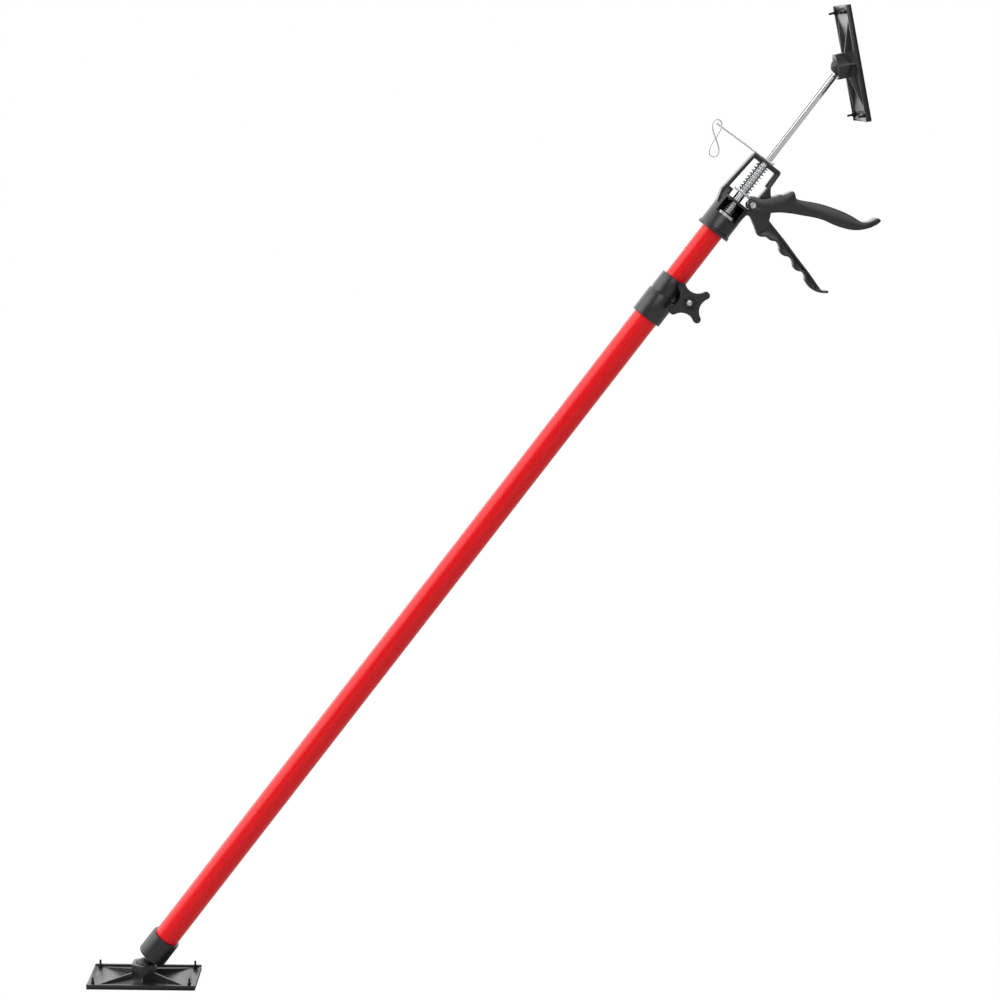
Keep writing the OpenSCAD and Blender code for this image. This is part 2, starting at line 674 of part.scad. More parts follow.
// Fixed handle with the ear round the pivot
module handle_outline() {
    ear = [for (a = [14:6:62]) pivot + ear_plate_r * [cos(a), sin(a)]];
    polygon(concat(groove_edge(), handle_top_edge(), ear,
        [[frame_half_w + 3.5 * edge_r, rib_end_share * frame_h - 2 * edge_r],
         [frame_half_w - edge_r / 2, rib_end_share * frame_h + 4 * edge_r],
         [frame_half_w - flange_t, rib_end_share * frame_h], [frame_half_w - 2 * flange_t, sleeve_h],
         [sleeve_r - sleeve_wall, sleeve_h - sleeve_top_t]]));
}
function stretch(p, from, to) = [for (q = p) if (q[0] > from && q[0] < to) q];
module handle_pocket() {
    from = pivot_x + pocket_shares[0] * handle_len;
    to = pivot_x + pocket_shares[1] * handle_len;
    polygon(concat(stretch(beside(groove_edge(), -groove_rim_t), from, to),
        stretch(beside(handle_top_edge(), -top_rim_t), from, to)));
}
// Room for the tongue between the two ears, over its whole swing
module clevis_slot() {
    half = arm_w / 2 + clevis_gap;
    reach = 2 * ear_plate_r;
    ends = [[arm_angle, 0, half], [arm_angle, reach, half], [arm_angle - squeeze, reach, -half],
            [arm_angle - squeeze, 0, -half]];
    translate(pivot) circle(r = hub_r + clevis_gap);
    polygon([for (e = ends) pivot + [e[1] * cos(e[0]) - e[2] * sin(e[0]), e[1] * sin(e[0]) + e[2] * cos(e[0])]]);
}
module ratchet_frame() {
    low_z = pivot_z + pivot_rise * 1.8;
    color([0.14, 0.14, 0.15]) on_gun() difference() {
        union() {
            cylinder(r = sleeve_r, h = sleeve_h);
            rotate_extrude() polygon([[0, 0], [sleeve_r + bead_out - edge_r / 2, 0], [sleeve_r + bead_out, edge_r / 2],
                [sleeve_r + bead_out, bead_h - bead_out], [sleeve_r, bead_h], [0, bead_h]]);
            difference() {
                upright(frame_depth) difference() {
                    frame_outline();
                    frame_window(frame_rib_t);
                }
                for (side = [-1, 1])
                    translate([pivot_x - 2 * hub_r, side * handle_depth - handle_depth / 2, sleeve_h - cheek_t])
                        cube([frame_half_w, handle_depth, low_z - sleeve_h + cheek_t]);
            }
            upright(frame_rib_depth) difference() {
                frame_outline();
                frame_window(0);
            }
            upright(frame_rib_depth) right_rib();
            translate([pivot_x, 0, pivot_z]) across(ear_boss_r, handle_depth);
            translate([window_low_shares[0] * frame_half_w - edge_r, -handle_depth / 2, sleeve_h - edge_r])
                cube([shoulder_w, handle_depth, shoulder_h + edge_r]);
            difference() {
                upright(handle_depth) handle_outline();
                for (side = [-1, 1]) translate([0, side * (handle_depth / 2 + web_t / 2), 0])
                    upright(handle_depth) handle_pocket();
            }
        }
        translate([0, 0, -cut]) cylinder(r = upper_r, h = tube_seat + cut);
        translate([0, 0, tube_seat]) cylinder(r = chamber_r, h = sleeve_h - sleeve_top_t - tube_seat);
        translate([-window_w / 2, -sleeve_r - cut, tube_seat])
            cube([window_w, sleeve_r + cut, sleeve_h - sleeve_top_t - tube_seat]);
        cylinder(r = rod_r + rod_bore_gap, h = frame_h + cut);
        upright(tongue_w + 2 * clevis_gap) clevis_slot();
        translate([pivot_x, 0, pivot_z]) across(pin_d / 2, 2 * frame_depth);
        translate([0, 0, tube_seat / 2]) rivet_seat(sleeve_r);
    }
}
module sleeve_rivet() {
    color([0.78, 0.79, 0.8]) on_gun() translate([0, 0, tube_seat / 2]) rivet(sleeve_r, upper_r + seat_gap);
}
module lever_pin() {
    half = lever_w / 2 + seat_gap;
    color([0.85, 0.86, 0.87]) on_gun() translate([pivot_x, 0, pivot_z]) {
        across(pin_d / 2, 2 * half);
        for (side = [-1, 1]) rotate([side * 90, 0, 0]) translate([0, 0, half])
            cylinder(d1 = pin_head_d, d2 = pin_head_d - pin_head_t, h = pin_head_t);
    }
}

// Pump lever: a channel with two cheeks, and a tongue between the frame's ears that carries the cam
function lever_top() = curve(scaled(lever_top_shares, lever_len, pivot), 3);
function lever_low() = curve(scaled(lever_low_shares, lever_len, pivot), 3);
module lever_outline() {
    union() {
        polygon(concat(lever_top(), lever_low(), curve(scaled(ear_low_shares, lever_len, pivot), 3),
            [pivot], scaled(ear_top_shares, lever_len, pivot)));
        translate(pivot) circle(r = ear_r_share * lever_len);
    }
}
module lever_hollow() {
    back = curve(scaled(hollow_shares, lever_len, pivot), 3);
    last = back[len(back) - 1];
    left = pivot_x - lever_len / 5;
    low = pivot_z - lever_len / 5;
    high = pivot_z + lever_len / 5;
    polygon(concat([[left, low], [left, high], [back[0][0] - lever_skin_t, high]], back,
        [[last[0] + lever_skin_t / 2, last[1] - lever_skin_t], [last[0] + lever_skin_t / 2, low]]));
}
module lever_tongue() {
    union() {
        translate(pivot) circle(r = hub_r);
        translate(nose) circle(r = nose_r);
        intersection() {
            lever_outline();
            translate(pivot) rotate(arm_angle) translate([0, -arm_w / 2]) square([arm_len, arm_w]);
        }
    }
}
module pump_lever() {
    color([0.14, 0.14, 0.15]) on_gun() difference() {
        union() {
            difference() {
                upright(lever_w) lever_outline();
                upright(lever_w - 2 * cheek_t) lever_hollow();
            }
            upright(tongue_w) lever_tongue();
        }
        translate([pivot_x, 0, pivot_z]) across(pin_d / 2 + run_gap, 2 * lever_w);
    }
}

// Rod, plates and springs
module push_rod() {
    bore_r = stem_d / 2 + run_gap;
    neck_len = head_neck_len - seat_gap - sqrt(ball_r * ball_r - bore_r * bore_r);
    color([0.86, 0.87, 0.88]) on_pole(rod_z) difference() {
        union() {
            cylinder(r = rod_r, h = rod_len);
            cylinder(d = head_neck_d, h = rod_len + neck_len);
        }
        translate([0, 0, rod_len - stem_len - cut]) cylinder(r = bore_r, h = stem_len + head_neck_len);
    }
}
module rod_guide() {
    color([0.2, 0.2, 0.21]) on_pole(rod_z - guide_lip_t) difference() {
        cylinder(r = upper_bore_r - run_gap, h = guide_len);
        translate([0, 0, guide_lip_t]) cylinder(r = rod_r, h = guide_len);
    }
}
module drive_plate() {
    color([0.78, 0.79, 0.8]) on_gun() translate([0, 0, drive_z]) difference() {
        union() {
            translate([-drive_left, -drive_w / 2, 0]) cube([drive_left + drive_right, drive_w, drive_t]);
            translate([0, -tongue_w / 2, 0]) cube([drive_nose, tongue_w, drive_t]);
        }
        translate([0, 0, -cut]) cylinder(r = rod_r + plate_bore_gap, h = drive_t + 2 * cut);
    }
}
module spring_cup() {
    flange_r = chamber_r - cup_clear;
    bore_r = rod_r + rod_bore_gap;
    room = spring_play + short_flare - rod_bore_gap;
    cone_r = bore_r + room * cone_shares[0];
    cone_top_r = bore_r + room * cone_shares[1];
    color([0.82, 0.83, 0.84]) on_gun() translate([0, 0, cup_z]) rotate_extrude() polygon([
        [bore_r, 0], [flange_r, 0], [flange_r, cup_flange_t], [cone_r, cup_flange_t],
        [cone_top_r, cup_flange_t + cup_cone_h], [bore_r, cup_flange_t + cup_cone_h]]);
}

// One unbroken tube swept along a coil: rise(n) is the height after n turns
coil_rings = 8;
wire_sides = 6;
function coil_rise(n, turns, length, end_pitch) =
    let (body_pitch = (length - 2 * end_pitch) / (turns - 2))
    n < 1 ? end_pitch * n :
    n < turns - 1 ? end_pitch + body_pitch * (n - 1) : length - end_pitch * (turns - n);
function coil_path(r, turns, length, end_pitch, flare = 0) = [
    for (i = [0:round(coil_rings * turns)])
        let (n = i / coil_rings, z = coil_rise(n, turns, length, end_pitch), q = r + flare * (1 - z / length))
        [q * cos(360 * n), q * sin(360 * n), z]];
function path_gap(path, wire_d) = min([
    for (i = [0:len(path) - 1], j = [0:len(path) - 1]) if (j - i > coil_rings / 2) norm(path[j] - path[i])]) - wire_d;
function tube_ring(path, i, closed, side_of, wire_d, sides) =
    let (n = len(path),
         a = path[closed ? (i + n - 1) % n : max(i - 1, 0)],
         b = path[closed ? (i + 1) % n : min(i + 1, n - 1)],
         t = unit(b - a), u = unit(cross(side_of, t)), v = cross(t, u))
    [for (k = [0:sides - 1]) path[i] + wire_d / 2 * (cos(360 * k / sides) * u + sin(360 * k / sides) * v)];
module swept_wire(path, wire_d, closed, side_of, sides) {
    n = len(path);
    rings = closed ? n : n - 1;
    points = [for (i = [0:n - 1]) each tube_ring(path, i, closed, side_of, wire_d, sides)];
    walls = [for (i = [0:rings - 1], k = [0:sides - 1])
        let (a = i * sides, b = ((i + 1) % n) * sides, m = (k + 1) % sides)
        each [[a + k, b + m, a + m], [a + k, b + k, b + m]]];
    ends = closed ? [] : [for (k = [1:sides - 2])
        each [[0, k, k + 1], [(n - 1) * sides, (n - 1) * sides + k + 1, (n - 1) * sides + k]]];
    polyhedron(points = points, faces = concat(walls, ends));
}
coil_gap = 0.6;
return_r = rod_r + spring_play + return_wire_d / 2;
return_z = drive_z + drive_t + seat_gap + return_wire_d / 2;
return_len = bar_z - seat_gap - return_wire_d / 2 - return_z;
return_path = coil_path(return_r, return_turns, return_len, return_wire_d + coil_gap);
echo(str("return spring, least gap to itself: ", path_gap(return_path, return_wire_d)));
module return_spring() {
    color([0.88, 0.89, 0.9]) on_gun() translate([0, 0, return_z])
        swept_wire(return_path, return_wire_d, false, [0, 0, 1], wire_sides);
}
short_r = rod_r + spring_play + short_wire_d / 2;
short_z = cup_top_z + seat_gap + short_wire_d / 2;
short_len = sleeve_h - sleeve_top_t - seat_gap - short_wire_d / 2 - short_z;
short_path = coil_path(short_r, short_turns, short_len, short_wire_d + coil_gap, short_flare);
echo(str("short spring, least gap to itself: ", path_gap(short_path, short_wire_d)));
module short_spring() {
    color([0.88, 0.89, 0.9]) on_gun() translate([0, 0, short_z])
        swept_wire(short_path, short_wire_d, false, [0, 0, 1], wire_sides);
}

// Release strip on the frame's top, and the wire ring that hangs in its end
strip_bend_x = -frame_half_w;
strip_hole_x = -strip_len + ring_hole_inset;
module strip_profile() {
    drop = (strip_len - frame_half_w) * tan(strip_droop);
    polygon([[-strip_len, -drop], [strip_bend_x, 0], [strip_tail, 0], [strip_tail, strip_t + lip_h],
             [strip_tail - lip_t, strip_t + lip_h], [strip_tail - lip_t, strip_t],
             [strip_bend_x, strip_t], [-strip_len, strip_t - drop]]);
}
module strip_plan() {
    w = strip_w / 2;
    e = strip_end_w / 2;
    polygon(concat([[strip_tail, -w], [strip_tail, w], [-w, w]],
        curve([[-w, w], [-1.6 * w, 0.92 * w], [strip_bend_x - w, e]], 4),
        arc_corner([0, e], [-strip_len, e], [-strip_len, -e], e * 0.9),
        arc_corner([-strip_len, e], [-strip_len, -e], [0, -e], e * 0.9),
        reversed(curve([[-w, -w], [-1.6 * w, -0.92 * w], [strip_bend_x - w, -e]], 4))));
}
module release_strip() {
    color([0.8, 0.81, 0.82]) on_gun() translate([0, 0, frame_h]) difference() {
        intersection() {
            upright(2 * strip_w) strip_profile();
            translate([0, 0, -strip_len / 2]) linear_extrude(height = strip_len) strip_plan();
        }
        translate([0, 0, -cut]) cylinder(r = rod_r + strip_bore_gap, h = strip_t + lip_h + 2 * cut);
        translate([strip_hole_x, 0, -strip_t - cut]) cylinder(d = ring_hole_d, h = 3 * strip_t + 2 * cut);
    }
}
// A wire figure of eight; one strand passes in front of the other at the middle
ring_steps = 40;
ring_sides = 8;
ring_cross = ring_wire_d / 2 + coil_gap / 2;
ring_half_w = ring_w / 2 - ring_wire_d / 2;
ring_half_h = ring_h / 2 - ring_wire_d / 2;
ring_path = [for (i = [0:ring_steps - 1]) let (a = 360 * i / ring_steps)
    [ring_half_w * sin(2 * a), ring_cross * sin(a), ring_half_h * cos(a)]];
module release_ring() {
    hang = ring_half_h * cos(50);
    color([0.82, 0.83, 0.84]) on_gun()
        translate([strip_hole_x, 0, frame_h + strip_t / 2 - (strip_len - frame_half_w) * tan(strip_droop) * 0.85])
        rotate([0, -pole_lean, 0]) rotate([0, ring_lean, 0]) translate([-ring_half_w, 0, -hang])
        swept_wire(ring_path, ring_wire_d, true, [0, 1, 0], ring_sides);
}

// Ball on the rod's upper end, with a stem that turns in the rod
module head_ball() {
    color([0.16, 0.16, 0.17]) on_pole(head_z) rotate([180, 0, 0]) {
        sphere(r = ball_r);
        cylinder(d = stem_d, h = head_neck_len + stem_len);
    }
}

foot_plate();
foot_sole();
foot_ball();
foot_ball_nut();
foot_cap();
lower_tube();
clamp_collar();
collar_rivet();
clamp_screw();
clamp_nut();
clamp_knob();
upper_tube();
tube_guide();
ratchet_frame();
sleeve_rivet();
spring_cup();
short_spring();
push_rod();
rod_guide();
drive_plate();
return_spring();
pump_lever();
lever_pin();
release_strip();
release_ring();
head_ball();
head_plate();
head_sole();
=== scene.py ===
"""Telescopic support pole: finishes, softened mouldings, wound wire and a plain studio."""

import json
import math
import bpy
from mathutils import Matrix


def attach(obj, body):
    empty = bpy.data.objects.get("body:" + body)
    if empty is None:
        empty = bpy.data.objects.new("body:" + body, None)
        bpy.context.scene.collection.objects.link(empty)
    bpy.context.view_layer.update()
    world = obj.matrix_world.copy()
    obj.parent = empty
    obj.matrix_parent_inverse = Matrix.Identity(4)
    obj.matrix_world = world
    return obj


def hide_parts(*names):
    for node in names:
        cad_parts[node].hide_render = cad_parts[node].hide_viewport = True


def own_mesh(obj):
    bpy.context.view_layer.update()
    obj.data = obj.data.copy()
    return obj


bl_info = {
    "name": "Telescopic Support Pole",
    "version": (1, 0, 0),
    "blender": (4, 5, 0),
    "location": "3D View > Sidebar > Support Pole",
    "description": "Dresses a support pole: enamel, moulded nylon, rubber, plated rod and springs",
    "category": "Object",
}

from collections import namedtuple

import bpy
from bpy.props import FloatProperty, FloatVectorProperty, PointerProperty
from mathutils import Matrix, Vector

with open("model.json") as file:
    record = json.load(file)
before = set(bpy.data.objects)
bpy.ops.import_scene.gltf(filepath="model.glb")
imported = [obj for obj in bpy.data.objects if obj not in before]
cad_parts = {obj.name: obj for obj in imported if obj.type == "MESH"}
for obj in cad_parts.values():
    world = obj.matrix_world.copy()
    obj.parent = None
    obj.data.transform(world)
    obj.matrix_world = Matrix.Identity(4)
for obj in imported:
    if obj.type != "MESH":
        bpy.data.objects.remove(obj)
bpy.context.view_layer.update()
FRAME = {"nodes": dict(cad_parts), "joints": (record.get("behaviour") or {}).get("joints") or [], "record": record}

# A millimetre, and how near two corners lie to be welded, in metres
MM = 0.001
WELD = 0.000004

# The sizes below are in millimetres and the angles in degrees

# Chamfer on the ends of turned pieces
CHAMFER = 0.3

# Push rod and head ball: radii of the stem, its bore and the waist, depth of the bore, length of the waist
STEM = 3.0
STEM_BORE = 3.06
WAIST = 4.2
STEM_LENGTH = 19.0
HEAD_WAIST = 12.0

# Foot ball: the neck's radius is measured over this height at its end
NECK_BAND = 1.0

# Ball studs: where the ball's profile ends past its widest ring, and its steps
BALL_END = 86
BALL_STEPS = 30

# Foot cap: rounds of its lower edge and of its rim
CAP_ROUND = 1.6
CAP_RIM_ROUND = 0.8

# Lever's rivet: radius of its shank, thickness of its heads and depth of their rims
PIN = 2.5
PIN_HEAD = 1.4
PIN_RIM = 0.75

# The rivet's face from its dimple outward: radius, and depth below its highest ring
PIN_FACE = ((0.9, 0.7), (1.35, 0.25), (1.6, 0.05), (1.9, 0.0), (2.25, 0.05), (2.45, 0.35), (2.65, 0.35),
            (2.85, 0.1), (3.05, 0.25))

# Spring cup: height of its flange, wall at the cone's top, and the cone's foot between bore and flange
CUP_FLANGE = 3.4
CUP_TOP_WALL = 1.1
CUP_CONE_SHARE = 0.244

# Springs and ring: play round the rod, gap between touching strands, steps round a turn, and the fineness
# of a wire's round section
SPRING_PLAY = 0.6
COIL_GAP = 0.6
COIL_STEPS = 32
WIRE_RESOLUTION = 3

# Pull ring: width, height, steps, lean, and how far round from its top the strip's hole bears on it
RING_W = 11.2
RING_H = 40.0
RING_STEPS = 96
RING_LEAN = 5.0
RING_BEARING = 50

# Faces nearer than this to one plane are joined before edges are broken
FLAT_ANGLE = 0.6

# Edges sharper than this are broken, with this many faces across
BREAK_ANGLE = 24
BREAK_SEGMENTS = 2

# Edges duller than these are shaded smooth
MOULDED_SMOOTH = 38
TURNED_SMOOTH = 40
WIRE_SMOOTH = 60

# Most of a noise texture's values lie between these two
NOISE_LOW = 0.25
NOISE_HIGH = 0.75

# The room brightens toward this side, between these two cosines of the angle to it
ROOM_BRIGHT_SIDE = (-0.55, 0.72, 0.42)
ROOM_DARK_AT = -0.10
ROOM_BRIGHT_AT = 0.90

# The lamps: name, place, width, height, power and the point aimed at
LAMPS = (
    ("key_lamp", (-2.1, -0.9, 1.9), 2.4, 2.4, 26, (0.45, 0.0, 0.5)),
    ("front_lamp", (0.9, -3.4, 2.4), 2.2, 2.2, 34, (0.5, 0.0, 0.6)),
)

# The white floor, in metres, with its own grey and the glow that the camera sees
FLOOR_SIZE = 14
FLOOR_PLACE = (0.4, 0.5, 0)
FLOOR_GREY = 0.42
FLOOR_ROUGHNESS = 0.9
FLOOR_SHINE = 0.1
FLOOR_GLOW = 1.04
WHITE = (1, 1, 1, 1)

# The camera: place in metres, angles in degrees, sensor in millimetres and far end of its view in metres
CAMERA_PLACE = (0.3714, -2.2903, 0.9834)
CAMERA_PITCH = 10.623
CAMERA_YAW = 0.510
CAMERA_ROLL = 0.854
CAMERA_SENSOR = 36
CAMERA_FAR = 50

# The pole's own directions, taken from the telescoping slide and the foot ball joint
JOINTS = {joint["name"]: joint for joint in FRAME["joints"]}
POLE_AXIS = Vector(JOINTS["telescope"]["axis"]).normalized()
FOOT_BALL = Vector(JOINTS["foot_tilt"]["pos_m"])
POLE_LEAN = math.atan2(POLE_AXIS.x, POLE_AXIS.z)
PIVOT = Vector(JOINTS["lever_squeeze"]["pos_m"])
RING_HOLE = Vector(JOINTS["ring_swing"]["pos_m"])
HEAD_BALL = Vector(JOINTS["head_tilt"]["pos_m"])

# From a place about the foot ball with the pole upright to the same place on the leaning pole
POLE_MATRIX = Matrix.Translation(FOOT_BALL) @ Matrix.Rotation(POLE_LEAN, 4, "Y")

# What span says of a node: its ends along the pole and its least and largest radius
Span = namedtuple("Span", "low high inner outer")


def in_pole(point):
    """A point of the frame in millimetres across, in front of and along the pole."""
    return (POLE_MATRIX.inverted() @ point) / MM


def span(node):
    """A frame node's ends along the pole and its least and largest radius, in millimetres."""
    points = [in_pole(vertex.co) for vertex in FRAME["nodes"][node].data.vertices]
    reach = [math.hypot(point.x, point.y) for point in points]
    heights = [point.z for point in points]
    return Span(min(heights), max(heights), min(reach), max(reach))


def body_of(node):
    """The body that a frame node rides on."""
    for body, members in FRAME["record"]["behaviour"]["bodies"].items():
        if node in members:
            return body
    raise KeyError(node)


# Settings

class SP_PoleColours(bpy.types.PropertyGroup):
    """Colours of the pole's finishes."""

    tube_enamel: FloatVectorProperty(
        name="Tube enamel", description="Colour of the enamel on both tubes",
        subtype="COLOR", size=3, min=0, max=1, default=(0.90, 0.003, 0.008))
    moulded_nylon: FloatVectorProperty(
        name="Moulded nylon", description="Colour of the dark mouldings",
        subtype="COLOR", size=3, min=0, max=1, default=(0.0085, 0.0085, 0.0095))
    rubber: FloatVectorProperty(
        name="Rubber", description="Colour of the two soles",
        subtype="COLOR", size=3, min=0, max=1, default=(0.008, 0.008, 0.0085))
    plated_rod: FloatVectorProperty(
        name="Plated rod", description="Colour of the push rod",
        subtype="COLOR", size=3, min=0, max=1, default=(0.84, 0.85, 0.87))
    zinc: FloatVectorProperty(
        name="Zinc", description="Colour of the zinc-plated plates, screws, rivets and pull ring",
        subtype="COLOR", size=3, min=0, max=1, default=(0.66, 0.67, 0.69))
    spring_wire: FloatVectorProperty(
        name="Spring wire", description="Colour of the two springs",
        subtype="COLOR", size=3, min=0, max=1, default=(0.64, 0.65, 0.66))
    coated_steel: FloatVectorProperty(
        name="Coated steel", description="Colour of the two ball studs",
        subtype="COLOR", size=3, min=0, max=1, default=(0.05, 0.05, 0.053))


class SP_PoleSizes(bpy.types.PropertyGroup):
    """Sizes of the pieces that are remade over the frame."""

    edge_break: FloatProperty(
        name="Edge break", description="Radius of the softened edges of the mouldings",
        subtype="DISTANCE", unit="LENGTH", min=0, max=0.002, default=0.0005)
    fine_edge_break: FloatProperty(
        name="Fine edge break", description="Radius of the softened edges of the pressings and soles",
        subtype="DISTANCE", unit="LENGTH", min=0, max=0.001, default=0.0003)
    return_turns: FloatProperty(
        name="Return spring turns", description="Turns of the return spring",
        min=6, max=12, default=9.5)
    return_wire: FloatProperty(
        name="Return spring wire", description="Diameter of the return spring's wire",
        subtype="DISTANCE", unit="LENGTH", min=0.001, max=0.002, default=0.0015)
    short_turns: FloatProperty(
        name="Short spring turns", description="Turns of the short spring in the sleeve",
        min=3, max=8, default=5.5)
    short_wire: FloatProperty(
        name="Short spring wire", description="Diameter of the short spring's wire",
        subtype="DISTANCE", unit="LENGTH", min=0.0008, max=0.0016, default=0.0012)
    ring_wire: FloatProperty(
        name="Pull ring wire", description="Diameter of the pull ring's wire",
        subtype="DISTANCE", unit="LENGTH", min=0.001, max=0.0018, default=0.0013)


class SP_Studio(bpy.types.PropertyGroup):
    """Camera and light."""

    lens: FloatProperty(
        name="Lens", description="Focal length of the camera",
        unit="CAMERA", min=20, max=200, default=77.72)
    room_bright: FloatProperty(
        name="Bright side", description="Level of the room behind the object and to its left",
        subtype="FACTOR", min=0, max=4, default=2.1)
    room_dark: FloatProperty(
        name="Dark side", description="Level of the room on the camera's side",
        subtype="FACTOR", min=0, max=2, default=0.26)
    light: FloatProperty(
        name="Light", description="Level of all the lamps together",
        subtype="FACTOR", min=0.1, max=3, default=1)
    shadow: FloatProperty(
        name="Floor shadow", description="How much of the object's shadow the floor shows",
        subtype="FACTOR", min=0, max=1, default=0.06)


# Shader node helpers

def new_group(name, inputs, outputs):
    """An empty shader node group, its input node and its output node.

    An input is given by its name, kind, default, least and greatest value, an output by its name and kind.
    """
    group = bpy.data.node_groups.new(name, "ShaderNodeTree")
    for label, kind, value, low, high in inputs:
        socket = group.interface.new_socket(name=label, in_out="INPUT", socket_type=kind)
        socket.default_value = value
        if kind == "NodeSocketFloat":
            socket.min_value = low
            socket.max_value = high
    for label, kind in outputs:
        group.interface.new_socket(name=label, in_out="OUTPUT", socket_type=kind)
    group_in = group.nodes.new("NodeGroupInput")
    group_out = group.nodes.new("NodeGroupOutput")
    return group, group_in, group_out


def add_node(tree, kind, values=None, **settings):
    """A node with its plain settings and its unlinked values filled in."""
    node = tree.nodes.new(kind)
    for key, value in settings.items():
        setattr(node, key, value)
    for key, value in (values or {}).items():
        node.inputs[key].default_value = value
    return node


def join(tree, source, output, target, entry):
    """Link one node's output to another node's input."""
    tree.links.new(source.outputs[output], target.inputs[entry])


def grain_group():
    """Fine moulded or sprayed grain and broad cloudiness, both from 0 to 1."""
    group, entry, result = new_group(
        "fine_grain",
        [("Grain size", "NodeSocketFloat", 0.0005, 0.00001, 0.1),
         ("Cloud size", "NodeSocketFloat", 0.03, 0.001, 1.0)],
        [("Grain", "NodeSocketFloat"), ("Cloud", "NodeSocketFloat")])
    point = add_node(group, "ShaderNodeTexCoord")
    for label, output, detail in (("Grain size", "Grain", 3.0), ("Cloud size", "Cloud", 4.0)):
        scale = add_node(group, "ShaderNodeMath", {0: 1.0}, operation="DIVIDE")
        noise = add_node(group, "ShaderNodeTexNoise", {"Detail": detail, "Roughness": 0.55})
        join(group, entry, label, scale, 1)
        join(group, point, "Object", noise, "Vector")
        join(group, scale, 0, noise, "Scale")
        join(group, noise, "Fac", result, output)


def drawn_lines_group():
    """Fine lines that run along the pole, as drawing leaves them, from 0 to 1."""
    group, entry, result = new_group(
        "drawn_lines",
        [("Line width", "NodeSocketFloat", 0.0003, 0.00001, 0.01),
         ("Stretch", "NodeSocketFloat", 0.02, 0.001, 1.0)],
        [("Lines", "NodeSocketFloat")])
    point = add_node(group, "ShaderNodeTexCoord")
    shift = add_node(group, "ShaderNodeMapping", {"Location": -FOOT_BALL}, vector_type="POINT")
    lean = add_node(group, "ShaderNodeVectorRotate", {"Angle": -POLE_LEAN}, rotation_type="Y_AXIS")
    squeeze = add_node(group, "ShaderNodeCombineXYZ", {"X": 1.0, "Y": 1.0})
    narrow = add_node(group, "ShaderNodeVectorMath", operation="MULTIPLY")
    scale = add_node(group, "ShaderNodeMath", {0: 1.0}, operation="DIVIDE")
    noise = add_node(group, "ShaderNodeTexNoise", {"Detail": 2.0, "Roughness": 0.6})
    join(group, point, "Object", shift, "Vector")
    join(group, shift, "Vector", lean, "Vector")
    join(group, entry, "Stretch", squeeze, "Z")
    join(group, lean, "Vector", narrow, 0)
    join(group, squeeze, "Vector", narrow, 1)
    join(group, entry, "Line width", scale, 1)
    join(group, narrow, "Vector", noise, "Vector")
    join(group, scale, 0, noise, "Scale")
    join(group, noise, "Fac", result, "Lines")


def place_group(tree, name, **values):
    """A copy of a node group in a material, with its own values."""
    node = add_node(tree, "ShaderNodeGroup")
    node.node_tree = bpy.data.node_groups[name]
    for label, value in values.items():
        node.inputs[label.replace("_", " ")].default_value = value
    return node


def start_material(name, metallic=0.0, roughness=0.5, specular=0.5, coat=0.0, coat_roughness=0.03):
    """The tree and shader of a new material whose plain numbers sit on the shader's own sockets."""
    material = bpy.data.materials.new(name)
    material.use_nodes = True
    tree = material.node_tree
    shader = tree.nodes["Principled BSDF"]
    shader.inputs["Metallic"].default_value = metallic
    shader.inputs["Roughness"].default_value = roughness
    shader.inputs["Specular IOR Level"].default_value = specular
    shader.inputs["Coat Weight"].default_value = coat
    shader.inputs["Coat Roughness"].default_value = coat_roughness
    return tree, shader


def tint_between(tree, shader, mask, output, colour, darkest, lightest):
    """Base colour between a darker and a lighter shade of one colour, by a mask."""
    tint = add_node(tree, "ShaderNodeMix", data_type="RGBA", blend_type="MIX")
    tint.inputs["A"].default_value = [part * darkest for part in colour] + [1]
    tint.inputs["B"].default_value = [min(part * lightest, 1) for part in colour] + [1]
    join(tree, mask, output, tint, "Factor")
    tree.links.new(tint.outputs["Result"], shader.inputs["Base Color"])


def roughness_between(tree, shader, mask, output, smoothest, roughest):
    """Roughness between two values, by a mask."""
    spread = add_node(
        tree, "ShaderNodeMapRange",
        {"From Min": NOISE_LOW, "From Max": NOISE_HIGH, "To Min": smoothest, "To Max": roughest},
        clamp=True)
    join(tree, mask, output, spread, "Value")
    join(tree, spread, "Result", shader, "Roughness")


def bump_from(tree, shader, mask, output, depth, strength):
    """Small relief from a mask; its depth is in metres."""
    bump = add_node(tree, "ShaderNodeBump", {"Strength": strength, "Distance": depth})
    join(tree, mask, output, bump, "Height")
    join(tree, bump, "Normal", shader, "Normal")


# Finishes

def enamel_material(colour):
    """Glossy sprayed enamel under a thin clear coat, with a faint drift in tone and gloss."""
    tree, shader = start_material(
        "tube_enamel", roughness=0.30, specular=0.22, coat=0.3, coat_roughness=0.05)
    grain = place_group(tree, "fine_grain", Grain_size=0.0022, Cloud_size=0.09)
    tint_between(tree, shader, grain, "Cloud", colour, darkest=0.93, lightest=1.05)
    roughness_between(tree, shader, grain, "Cloud", smoothest=0.27, roughest=0.36)


def nylon_material(colour):
    """Satin moulded nylon: a fine eroded grain with cloudy gloss from handling."""
    tree, shader = start_material("moulded_nylon", roughness=0.34, specular=0.7)
    grain = place_group(tree, "fine_grain", Grain_size=0.00045, Cloud_size=0.05)
    tint_between(tree, shader, grain, "Cloud", colour, darkest=0.82, lightest=1.2)
    roughness_between(tree, shader, grain, "Cloud", smoothest=0.30, roughest=0.35)
    bump_from(tree, shader, grain, "Grain", depth=0.00002, strength=0.25)


